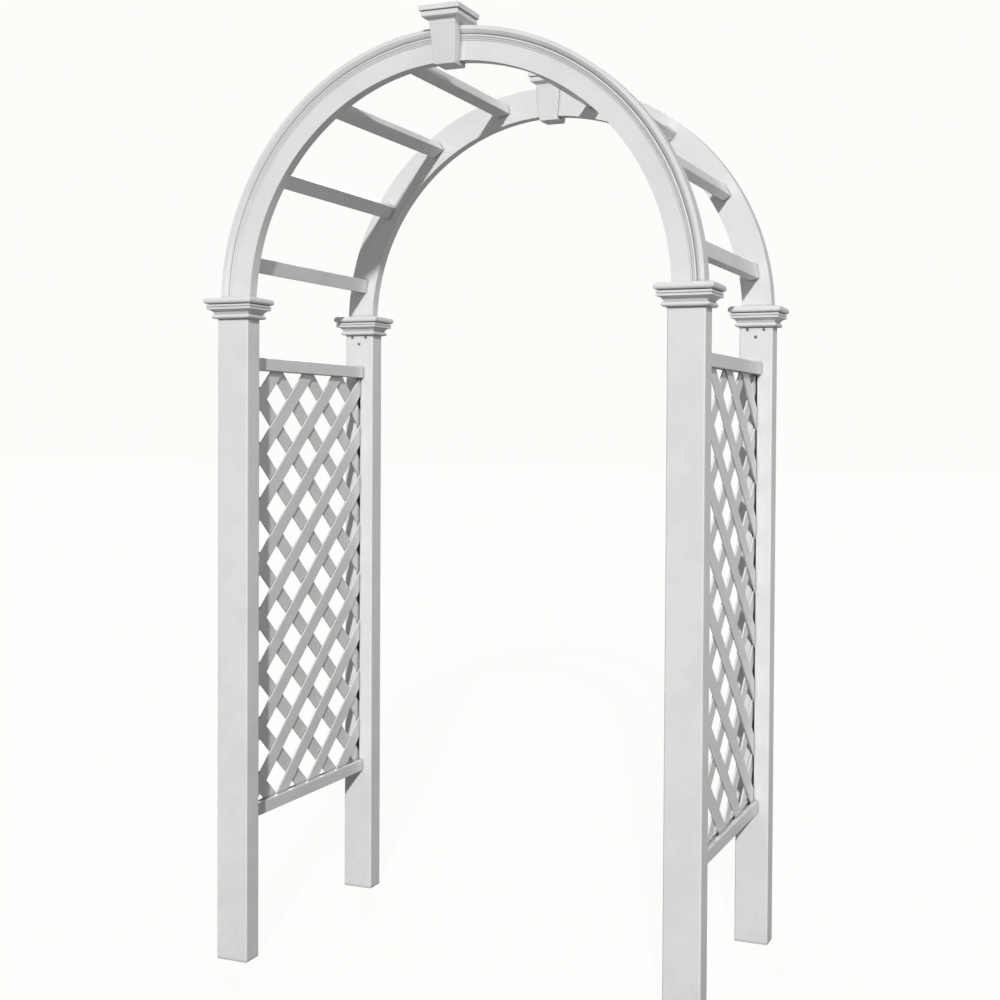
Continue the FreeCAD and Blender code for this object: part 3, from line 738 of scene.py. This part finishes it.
def makeArchHalf(side, end):
    name = f"arch{end.title()}{side.title()}"
    facing = -ends[end]               # the inside face looks towards the other arch
    hand = hands[side]
    rings, lengths = archRings(archSection(archShape), hand, facing, 90, archShape["bendSteps"], legBottom)
    piece = newObject(name, meshFrom(name, rings, uvSteps=lengths))
    pockets = [rungPocket(hand, facing, rungShape["angleFirst"] + i * rungStep)
               for i in range(rungShape["perSide"])]
    cutOut(piece, pockets)
    finishPiece(piece, archVinyl, "white_vinyl", f"arch_{end}_{side}_half")


for side in hands:
    for end in ends:
        makeArchHalf(side, end)
print("arches made")

# keystones: a tapered shell that clasps the crown, under a stepped cap
keystoneShape = {
    "topWide": 0.067,
    "footWide": 0.053,
    "topProud": 0.035,                # in front of the arch's flat band
    "footProud": 0.022,
    "topBack": 0.008,                 # behind the inside face
    "footBack": 0.003,
    "edge": 0.0012,
    "edgeBevel": 0.3,                 # share of the edge taken by its lower bevel
    "steps": 12,
    "bendSteps": 60,                  # of the arch that is cut out of it
    "bendRings": 12,
}
capShape = {
    "proud": 0.018,                   # slab beyond the body under it
    "bedOut": 0.0005,
    "bed": 0.0045,
    "coveOut": 0.0095,
    "cove": 0.0090,
    "coveDeep": 0.0018,
    "bandOut": 0.0140,
    "band": 0.0140,
    "bandUnder": 0.0034,
    "bandNose": 0.0036,
    "quirk": 0.0014,                  # slit between the band and the slab
    "quirkDeep": 0.0030,
    "slabUnder": 0.0014,
    "slabNose": 0.0022,
    "crown": 0.0032,
    "edge": 0.0005,
    "mitre": 0.0009,
    "mitreGrow": 0.02,
}


def makeKeystone(end):
    name = f"keystone{end.title()}"
    shape = keystoneShape
    low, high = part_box(f"keystone_{end}")
    facing = -ends[end]
    centreY = ends[end] * postY
    rings = []
    edge, steps = shape["edge"], shape["steps"]
    bevel = edge * shape["edgeBevel"]
    for i in range(steps + 1):
        t = i / steps
        halfX = (shape["footWide"] + (shape["topWide"] - shape["footWide"]) * t) / 2
        front = archFlat - (shape["footProud"] + (shape["topProud"] - shape["footProud"]) * t)
        rear = archInside + shape["footBack"] + (shape["topBack"] - shape["footBack"]) * t
        middle, half = (front + rear) / 2, (rear - front) / 2
        z = low.z + (high.z - low.z) * t
        turned = centreY + facing * middle
        if i == 0:
            rings.append(flatRing(roundedRectangle(halfX - edge, half - edge, edge, 4), z, 0, turned))
            rings.append(flatRing(roundedRectangle(halfX - bevel, half - bevel, edge, 4), z + bevel, 0, turned))
            z += edge
        rings.append(flatRing(roundedRectangle(halfX, half, edge, 4), z, 0, turned))
    piece = newObject(name, meshFrom(name, rings))
    section = archSection(archShape, fitGap * 1.5)
    tools = []
    for hand in (-1, 1):
        bend = archRings(section, hand, facing, 90, shape["bendSteps"])[0]
        tools.append(meshFrom("archTool", bend[:shape["bendRings"]]))
    for tool in tools:
        cutOut(piece, [tool])
    finishPiece(piece, mouldedVinyl, "white_vinyl", f"keystone_{end}")


def capProfile(shape, height):
    coveLow, coveHigh = shape["bed"], shape["bed"] + shape["cove"]
    slabLow = coveHigh + shape["band"]
    proud, crown, under = shape["proud"], shape["crown"], shape["slabUnder"]
    line = [(shape["bedOut"] - 0.002, 0), (shape["bedOut"], 0)]
    line += shallowArc((shape["bedOut"], coveLow), (shape["coveOut"], coveHigh), shape["coveDeep"], 10)
    bandOut, bandUnder = shape["bandOut"], shape["bandUnder"]
    line += underRound((bandOut - bandUnder, coveHigh), bandUnder, shape["bandNose"], 8)
    quirkLow, quirkIn = slabLow - shape["quirk"], bandOut - shape["quirkDeep"]
    line += [(bandOut, quirkLow), (quirkIn, quirkLow), (quirkIn, slabLow)]
    line += underRound((proud - under, slabLow), under, shape["slabNose"], 5)
    line += arcPoints((proud - crown, height - crown), crown, 0, 90, 8)
    return roundCorners(line, shape["edge"], 3, closed=False)


def makeKeystoneCap(end):
    name = f"keystoneCap{end.title()}"
    shape = capShape
    low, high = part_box(f"keystone_cap_{end}")
    halfX = (high.x - low.x) / 2 - shape["proud"]
    halfY = (high.y - low.y) / 2 - shape["proud"]
    y = (low.y + high.y) / 2
    base = archHigh.z
    rings = []
    for out, up in capProfile(shape, high.z - base):
        mitre = shape["mitre"] + max(out, 0) * shape["mitreGrow"]
        rings.append(hoopRing(halfX + out, halfY + out, mitre, base + up, 0, y))
    piece = newObject(name, meshFrom(name, rings))
    addTab(piece, end, low.z, base)
    finishPiece(piece, mouldedVinyl, "white_vinyl", f"keystone_cap_{end}")


tabShape = {
    "wide": 0.041,
    "deep": 0.017,
    "corner": 0.001,
    "wall": 0.003,                    # of the keystone
    "room": 0.023,                    # hollow in the front of the keystone
    "bury": 0.004,                    # how far it runs up into the cap
}


def addTab(piece, end, bottom, top):
    # the block under the cap that drops into the front of the keystone
    facing = -ends[end]
    middle = archFlat - keystoneShape["topProud"] + tabShape["wall"] + tabShape["room"] / 2
    y = ends[end] * postY + facing * middle
    halfX, halfY = tabShape["wide"] / 2, tabShape["deep"] / 2
    outline = roundedRectangle(halfX, halfY, tabShape["corner"], 3)
    mesh = meshFrom("tab", [flatRing(outline, z, 0, y) for z in (bottom, top + tabShape["bury"])])
    cutWith(piece, newObject("tab", mesh), "UNION")


for end in ends:
    makeKeystone(end)
    makeKeystoneCap(end)
print("keystones made")


# geometry node helpers
def newTree(name, inputs):
    tree = bpy.data.node_groups.new(name, "GeometryNodeTree")
    tree.interface.new_socket("Geometry", in_out="INPUT", socket_type="NodeSocketGeometry")
    known = {}
    for label, kind in inputs:
        socket = tree.interface.new_socket(label, in_out="INPUT", socket_type=kind)
        known[label] = socket.identifier
    tree.interface.new_socket("Geometry", in_out="OUTPUT", socket_type="NodeSocketGeometry")
    return tree, tree.nodes.new("NodeGroupInput"), tree.nodes.new("NodeGroupOutput"), known


def node(tree, kind, settings=None, **inputs):
    made = tree.nodes.new(kind)
    for key, value in (settings or {}).items():
        setattr(made, key, value)
    for label, value in inputs.items():
        feed(tree, value, made.inputs[label.replace("_", " ")])
    return made


def vectorOf(tree, x=0.0, y=0.0, z=0.0):
    made = tree.nodes.new("ShaderNodeCombineXYZ")
    for socket, value in zip(made.inputs, (x, y, z)):
        feed(tree, value, socket)
    return made.outputs[0]


def barOf(tree, wide, high, corner, length):
    # a bar of rounded section along Z: wide along X, high along Y
    profile = node(tree, "GeometryNodeCurvePrimitiveQuadrilateral", Width=wide, Height=high)
    eased = node(tree, "GeometryNodeFilletCurve", {"mode": "POLY"},
                 Curve=profile.outputs[0], Radius=corner, Count=4)
    start = vectorOf(tree, z=mathNode(tree, "MULTIPLY", length, -0.5))
    stop = vectorOf(tree, z=mathNode(tree, "MULTIPLY", length, 0.5))
    line = node(tree, "GeometryNodeCurvePrimitiveLine", Start=start, End=stop)
    bar = node(tree, "GeometryNodeCurveToMesh",
               Curve=line.outputs[0], Profile_Curve=eased.outputs[0], Fill_Caps=True)
    return bar.outputs[0]


def bakeTree(name, tree, known, values, base=None):
    holder = newObject(name, base or bpy.data.meshes.new(name))
    step = holder.modifiers.new("build", "NODES")
    step.node_group = tree
    for label, value in values.items():
        step[known[label]] = value
    flatten(holder)
    return holder


def closeUp(piece):
    # one shell per bar, faces outward
    bm = bmesh.new()
    bm.from_mesh(piece.data)
    bmesh.ops.remove_doubles(bm, verts=bm.verts, dist=1e-6)
    bmesh.ops.recalc_face_normals(bm, faces=bm.faces)
    bm.to_mesh(piece.data)
    bm.free()


# rungs: square tubes let into both arches, spaced by angle round the bend
def rungTree():
    tree, given, made, known = newTree("rungSpread", [
        ("Count", "NodeSocketInt"), ("Hand", "NodeSocketFloat"), ("Radius", "NodeSocketFloat"),
        ("Centre Height", "NodeSocketFloat"), ("First Angle", "NodeSocketFloat"),
        ("Angle Step", "NodeSocketFloat"), ("Length", "NodeSocketFloat"), ("Thick", "NodeSocketFloat"),
        ("Wide", "NodeSocketFloat"), ("Corner", "NodeSocketFloat"), ("Material", "NodeSocketMaterial"),
    ])
    sockets = given.outputs
    index = node(tree, "GeometryNodeInputIndex").outputs[0]
    angle = mathNode(tree, "ADD", mathNode(tree, "MULTIPLY", index, sockets["Angle Step"]), sockets["First Angle"])
    across = mathNode(tree, "MULTIPLY", mathNode(tree, "COSINE", angle), sockets["Radius"])
    across = mathNode(tree, "MULTIPLY", across, sockets["Hand"])
    up = mathNode(tree, "MULTIPLY", mathNode(tree, "SINE", angle), sockets["Radius"])
    place = vectorOf(tree, x=across, z=mathNode(tree, "ADD", up, sockets["Centre Height"]))
    points = node(tree, "GeometryNodePoints", Count=sockets["Count"], Position=place)
    bar = barOf(tree, sockets["Thick"], sockets["Wide"], sockets["Corner"], sockets["Length"])
    lying = node(tree, "GeometryNodeTransform", Geometry=bar, Rotation=(math.pi / 2, 0, 0))
    turn = vectorOf(tree, y=mathNode(tree, "MULTIPLY", mathNode(tree, "MULTIPLY", angle, sockets["Hand"]), -1.0))
    spread = node(tree, "GeometryNodeInstanceOnPoints", Points=points.outputs[0], Instance=lying.outputs[0],
                  Rotation=turn)
    real = node(tree, "GeometryNodeRealizeInstances", Geometry=spread.outputs[0])
    painted = node(tree, "GeometryNodeSetMaterial", Geometry=real.outputs[0], Material=sockets["Material"])
    wire(tree, painted.outputs[0], made.inputs[0])
    return tree, known


rungNodes, rungInputs = rungTree()
for side, hand in hands.items():
    rungs = bakeTree(f"rungs{side.title()}", rungNodes, rungInputs, {
        "Count": rungShape["perSide"], "Hand": float(hand), "Radius": postX, "Centre Height": springZ,
        "First Angle": math.radians(rungShape["angleFirst"]), "Angle Step": math.radians(rungStep),
        "Length": rungLength, "Thick": rungShape["thick"], "Wide": rungShape["wide"],
        "Corner": rungShape["corner"], "Material": railVinyl,
    })
    closeUp(rungs)
    finishPiece(rungs, railVinyl, "white_vinyl",
                *[f"rung_{side}_{i + 1}" for i in range(rungShape["perSide"])])
print("rungs made")

# rails: drawn channels, slotted along the face that takes the lattice
railShape = {
    "wall": 0.0025,
    "corner": 0.0022,
    "slotGap": 0.0005,
    "edge": 0.0004,
}


def makeRail(name, side, slotUp):
    low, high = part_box(f"{name}_{side}")
    shape = railShape
    halfX, halfZ = (high.x - low.x) / 2, (high.z - low.z) / 2
    wall = shape["wall"]
    slot = latticeThick / 2 + shape["slotGap"]
    inX, inZ = halfX - wall, halfZ - wall
    corner = shape["corner"]
    # starts beside the slot, goes once round the outside, then back round the inside
    outside = [(slot, halfZ)] + arcPoints((halfX - corner, halfZ - corner), corner, 90, 0, 5)
    outside += arcPoints((halfX - corner, -halfZ + corner), corner, 0, -90, 5)
    outside += arcPoints((-halfX + corner, -halfZ + corner), corner, -90, -180, 5)
    outside += arcPoints((-halfX + corner, halfZ - corner), corner, 180, 90, 5)
    outside += [(-slot, halfZ)]
    inside = [(-slot, inZ), (-inX, inZ), (-inX, -inZ), (inX, -inZ), (inX, inZ), (slot, inZ)]
    outline = roundCorners(outside + inside, shape["edge"], 2, sharpest=40)
    x, z = (low.x + high.x) / 2, (low.z + high.z) / 2
    flip = 1 if slotUp else -1
    rings = [[(x + a, y, z + flip * b) for a, b in outline] for y in (low.y, high.y)]
    piece = newObject(name.split("_")[0] + "Rail" + side.title(), meshFrom(name, rings))
    finishPiece(piece, railVinyl, "white_vinyl", f"{name}_{side}")


for side in hands:
    makeRail("bottom_rail", side, True)
    makeRail("top_rail", side, False)
print("rails made")

# lattice: two layers of slats at half a right angle, trimmed to the panel
latticeShape = {
    "pitch": 0.100,                   # slat to slat, square to the slats
    "width": 0.038,
    "corner": 0.0011,
    "shift": 0.009,                   # middle of an opening behind the panel's middle
    "drop": 0.069,                    # middle of the first openings below the top rail
    "slats": 32,
    "reach": 1.7,
}


def latticeTree():
    tree, given, made, known = newTree("latticeLayer", [
        ("Slats", "NodeSocketInt"), ("Step", "NodeSocketFloat"), ("Shift", "NodeSocketFloat"),
        ("Layer X", "NodeSocketFloat"), ("Crossing Height", "NodeSocketFloat"), ("Lean", "NodeSocketFloat"),
        ("Thick", "NodeSocketFloat"), ("Width", "NodeSocketFloat"), ("Corner", "NodeSocketFloat"),
        ("Reach", "NodeSocketFloat"), ("Panel Middle", "NodeSocketVector"),
        ("Panel Size", "NodeSocketVector"), ("Material", "NodeSocketMaterial"),
    ])
    sockets = given.outputs
    index = node(tree, "GeometryNodeInputIndex").outputs[0]
    half = mathNode(tree, "MULTIPLY", sockets["Slats"], 0.5)
    number = mathNode(tree, "ADD", mathNode(tree, "SUBTRACT", index, half), 0.5)
    along = mathNode(tree, "ADD", mathNode(tree, "MULTIPLY", number, sockets["Step"]), sockets["Shift"])
    place = vectorOf(tree, sockets["Layer X"], along, sockets["Crossing Height"])
    points = node(tree, "GeometryNodePoints", Count=sockets["Slats"], Position=place)
    bar = barOf(tree, sockets["Thick"], sockets["Width"], sockets["Corner"], sockets["Reach"])
    turn = vectorOf(tree, x=sockets["Lean"])
    spread = node(tree, "GeometryNodeInstanceOnPoints", Points=points.outputs[0], Instance=bar, Rotation=turn)
    real = node(tree, "GeometryNodeRealizeInstances", Geometry=spread.outputs[0])
    panel = node(tree, "GeometryNodeMeshCube", Size=sockets["Panel Size"])
    panel = node(tree, "GeometryNodeTransform",
                 Geometry=panel.outputs[0], Translation=sockets["Panel Middle"])
    trim = node(tree, "GeometryNodeMeshBoolean", {"operation": "INTERSECT", "solver": "EXACT"})
    wire(tree, real.outputs[0], trim.inputs["Mesh 2"])
    wire(tree, panel.outputs[0], trim.inputs["Mesh 2"])
    whole = node(tree, "GeometryNodeRealizeInstances", Geometry=trim.outputs[0])
    painted = node(tree, "GeometryNodeSetMaterial", Geometry=whole.outputs[0], Material=sockets["Material"])
    wire(tree, painted.outputs[0], made.inputs[0])
    return tree, known


latticeNodes, latticeInputs = latticeTree()
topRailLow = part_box("top_rail_right")[0].z
for side in hands:
    for layer, lean, finish in (("inner", -45, riseVinyl), ("outer", 45, fallVinyl)):
        low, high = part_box(f"lattice_{side}_{layer}")
        middle = (low + high) / 2
        size = high - low
        panel = bakeTree(f"lattice{layer.title()}{side.title()}", latticeNodes, latticeInputs, {
            "Slats": latticeShape["slats"], "Step": latticeShape["pitch"] * math.sqrt(2),
            "Shift": latticeShape["shift"], "Layer X": middle.x,
            "Crossing Height": topRailLow - latticeShape["drop"], "Lean": math.radians(lean),
            "Thick": size.x, "Width": latticeShape["width"], "Corner": latticeShape["corner"],
            "Reach": 2 * latticeShape["reach"], "Panel Middle": middle,
            "Panel Size": Vector((size.x * 3, size.y, size.z)), "Material": finish,
        })
        closeUp(panel)
        finishPiece(panel, finish, "white_vinyl", f"lattice_{side}_{layer}")
print("lattice made")


# screws: round heads with a cross recess, three in each post
def screwMesh():
    shape = screwShape
    turns = shape["turns"]
    radius, height = shape["headRadius"], shape["headHeight"]
    dome = [(radius * math.cos(math.radians(a)), height * (0.25 + 0.75 * math.sin(math.radians(a))))
            for a in range(0, 90, 10)]
    line = [(shape["shankRadius"] * 0.4, -shape["shankLength"])]
    line += [(shape["shankRadius"], -shape["shankLength"] + 0.002), (shape["shankRadius"], 0)]
    line += [(radius * 0.96, 0), (radius, height * 0.08)] + dome + [(radius * 0.06, height)]
    rings = []
    for out, up in line:
        rings.append([(out * math.cos(2 * math.pi * i / turns), -up, out * math.sin(2 * math.pi * i / turns))
                      for i in range(turns)])
    screw = newObject("screwMaster", meshFrom("screwMaster", rings))
    halfLong, halfWide = shape["recessLong"] / 2, shape["recessWide"] / 2
    deep = height - shape["recessDeep"]
    for a, b in ((halfLong, halfWide), (halfWide, halfLong)):
        cutOut(screw, [boxMesh("recess", (-a, -height * 2, -b), (a, -deep, b))])
    return screw


def screwTree():
    tree, given, made, known = newTree("screwSpread", [
        ("Screw", "NodeSocketObject"), ("Material", "NodeSocketMaterial"),
    ])
    source = node(tree, "GeometryNodeObjectInfo", Object=given.outputs["Screw"], As_Instance=True)
    position = node(tree, "GeometryNodeInputPosition")
    split = node(tree, "ShaderNodeSeparateXYZ", Vector=position.outputs[0])
    behind = mathNode(tree, "LESS_THAN", split.outputs["Y"], 0.0)
    spin = mathNode(tree, "MULTIPLY", split.outputs["X"], 40.0)
    turn = vectorOf(tree, y=spin, z=mathNode(tree, "MULTIPLY", behind, math.pi))
    spread = node(tree, "GeometryNodeInstanceOnPoints", Points=given.outputs["Geometry"],
                  Instance=source.outputs["Geometry"], Rotation=turn)
    real = node(tree, "GeometryNodeRealizeInstances", Geometry=spread.outputs[0])
    painted = node(tree, "GeometryNodeSetMaterial",
                   Geometry=real.outputs[0], Material=given.outputs["Material"])
    wire(tree, painted.outputs[0], made.inputs[0])
    return tree, known


screwNodes, screwInputs = screwTree()
master = screwMesh()
for side in hands:
    for end in ends:
        spots = bpy.data.meshes.new("spots")
        spots.from_pydata([tuple(p) for p in screwPlaces(side, end)], [], [])
        screws = bakeTree(f"legScrews{end.title()}{side.title()}", screwNodes, screwInputs,
                          {"Screw": master, "Material": steel}, spots)
        finishPiece(screws, steel, "screw_steel", f"leg_screws_{end}_{side}")
dropObject(master)
print("screws made")

# what stays as the frame gives it: sleeves, splices and the crown's own screws, all out of sight
hiddenFinishes = {
    "leg_sleeve": (insertVinyl, "insert_plastic"),
    "crown_splice": (insertVinyl, "insert_plastic"),
    "crown_screws": (steel, "screw_steel"),
}
for name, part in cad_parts.items():
    for start, (finish, slot) in hiddenFinishes.items():
        if name.startswith(start):
            part.data.materials.clear()
            part.data.materials.append(finish)

# floor and light
stageLook = {
    "white": (0.973, 0.982, 0.956, 1),
    "lightWorld": 0.20,
    "floorHalf": 40,
    "floorThick": 0.02,
    # painted shade: for bounced light the floor is darker near the frame and lighter far off, which darkens the
    # frame's lower parts; the camera sees only the even glowing floor
    "floorNear": (0.12, 0.12, 0.12, 1),
    "floorFar": (0.42, 0.42, 0.42, 1),
    "floorReach": (0.5, 4.5),         # metres over which the floor grows lighter
    "floorGlow": 0.962,
    "floorWhite": (0.06, 0.06, 0.06, 1),
    "keyTravels": (-0.3387, 0.8262, -0.4503),
    "keyPower": 2.7,
    "keyWidth": 2.5,                  # degrees
    "fillTravels": (0.50, -0.72, -0.48),
    "fillPower": 1.3,
    "fillWidth": 25,
    "sideTravels": (-0.98, 0.10, -0.15),
    "sidePower": 0.35,
    "sideWidth": 40,
}


def makeFloor():
    half, thick = stageLook["floorHalf"], stageLook["floorThick"]
    floor = newObject("floor", boxMesh("floor", (-half, -half, -thick), (half, half, 0)))
    material, tree, shader = newMaterial("floorPale")
    tree.nodes.remove(shader)
    out = tree.nodes["Material Output"]
    path = tree.nodes.new("ShaderNodeLightPath")
    seen = tree.nodes.new("ShaderNodeAddShader")
    soft = tree.nodes.new("ShaderNodeBsdfDiffuse")
    soft.inputs["Color"].default_value = stageLook["floorWhite"]
    glow = tree.nodes.new("ShaderNodeEmission")
    glow.inputs["Color"].default_value = stageLook["white"]
    glow.inputs["Strength"].default_value = stageLook["floorGlow"]
    wire(tree, soft.outputs[0], seen.inputs[0])
    wire(tree, glow.outputs[0], seen.inputs[1])
    # painted shade: the floor's colour for light that bounces, darker near the frame
    bounce = tree.nodes.new("ShaderNodeBsdfDiffuse")
    coordinates = tree.nodes.new("ShaderNodeTexCoord")
    length = tree.nodes.new("ShaderNodeVectorMath")
    length.operation = "LENGTH"
    wire(tree, coordinates.outputs["Object"], length.inputs[0])
    share = rangeNode(tree, length.outputs["Value"], *stageLook["floorReach"])
    wire(tree, mixColour(tree, share, stageLook["floorNear"], stageLook["floorFar"]), bounce.inputs["Color"])
    mix = tree.nodes.new("ShaderNodeMixShader")
    wire(tree, path.outputs["Is Camera Ray"], mix.inputs[0])
    wire(tree, bounce.outputs[0], mix.inputs[1])
    wire(tree, seen.outputs[0], mix.inputs[2])
    wire(tree, mix.outputs[0], out.inputs["Surface"])
    floor.data.materials.append(material)


def makeLight():
    world = bpy.data.worlds.new("studio")
    scene.world = world
    world.use_nodes = True
    tree = world.node_tree
    background = tree.nodes["Background"]
    path = tree.nodes.new("ShaderNodeLightPath")
    grey = (stageLook["lightWorld"],) * 3 + (1,)
    mix = mixColour(tree, path.outputs["Is Camera Ray"], grey, stageLook["white"])
    wire(tree, mix, background.inputs["Color"])
    background.inputs["Strength"].default_value = 1.0
    for name in ("key", "fill", "side"):
        sun = bpy.data.objects.new(name, bpy.data.lights.new(name, "SUN"))
        scene.collection.objects.link(sun)
        sun.data.energy = stageLook[f"{name}Power"]
        sun.data.angle = math.radians(stageLook[f"{name}Width"])
        sun.rotation_mode = "QUATERNION"
        sun.rotation_quaternion = Vector(stageLook[f"{name}Travels"]).to_track_quat("-Z", "Y")
    scene.view_settings.view_transform = "Standard"


makeFloor()
makeLight()
print("floor and light made")
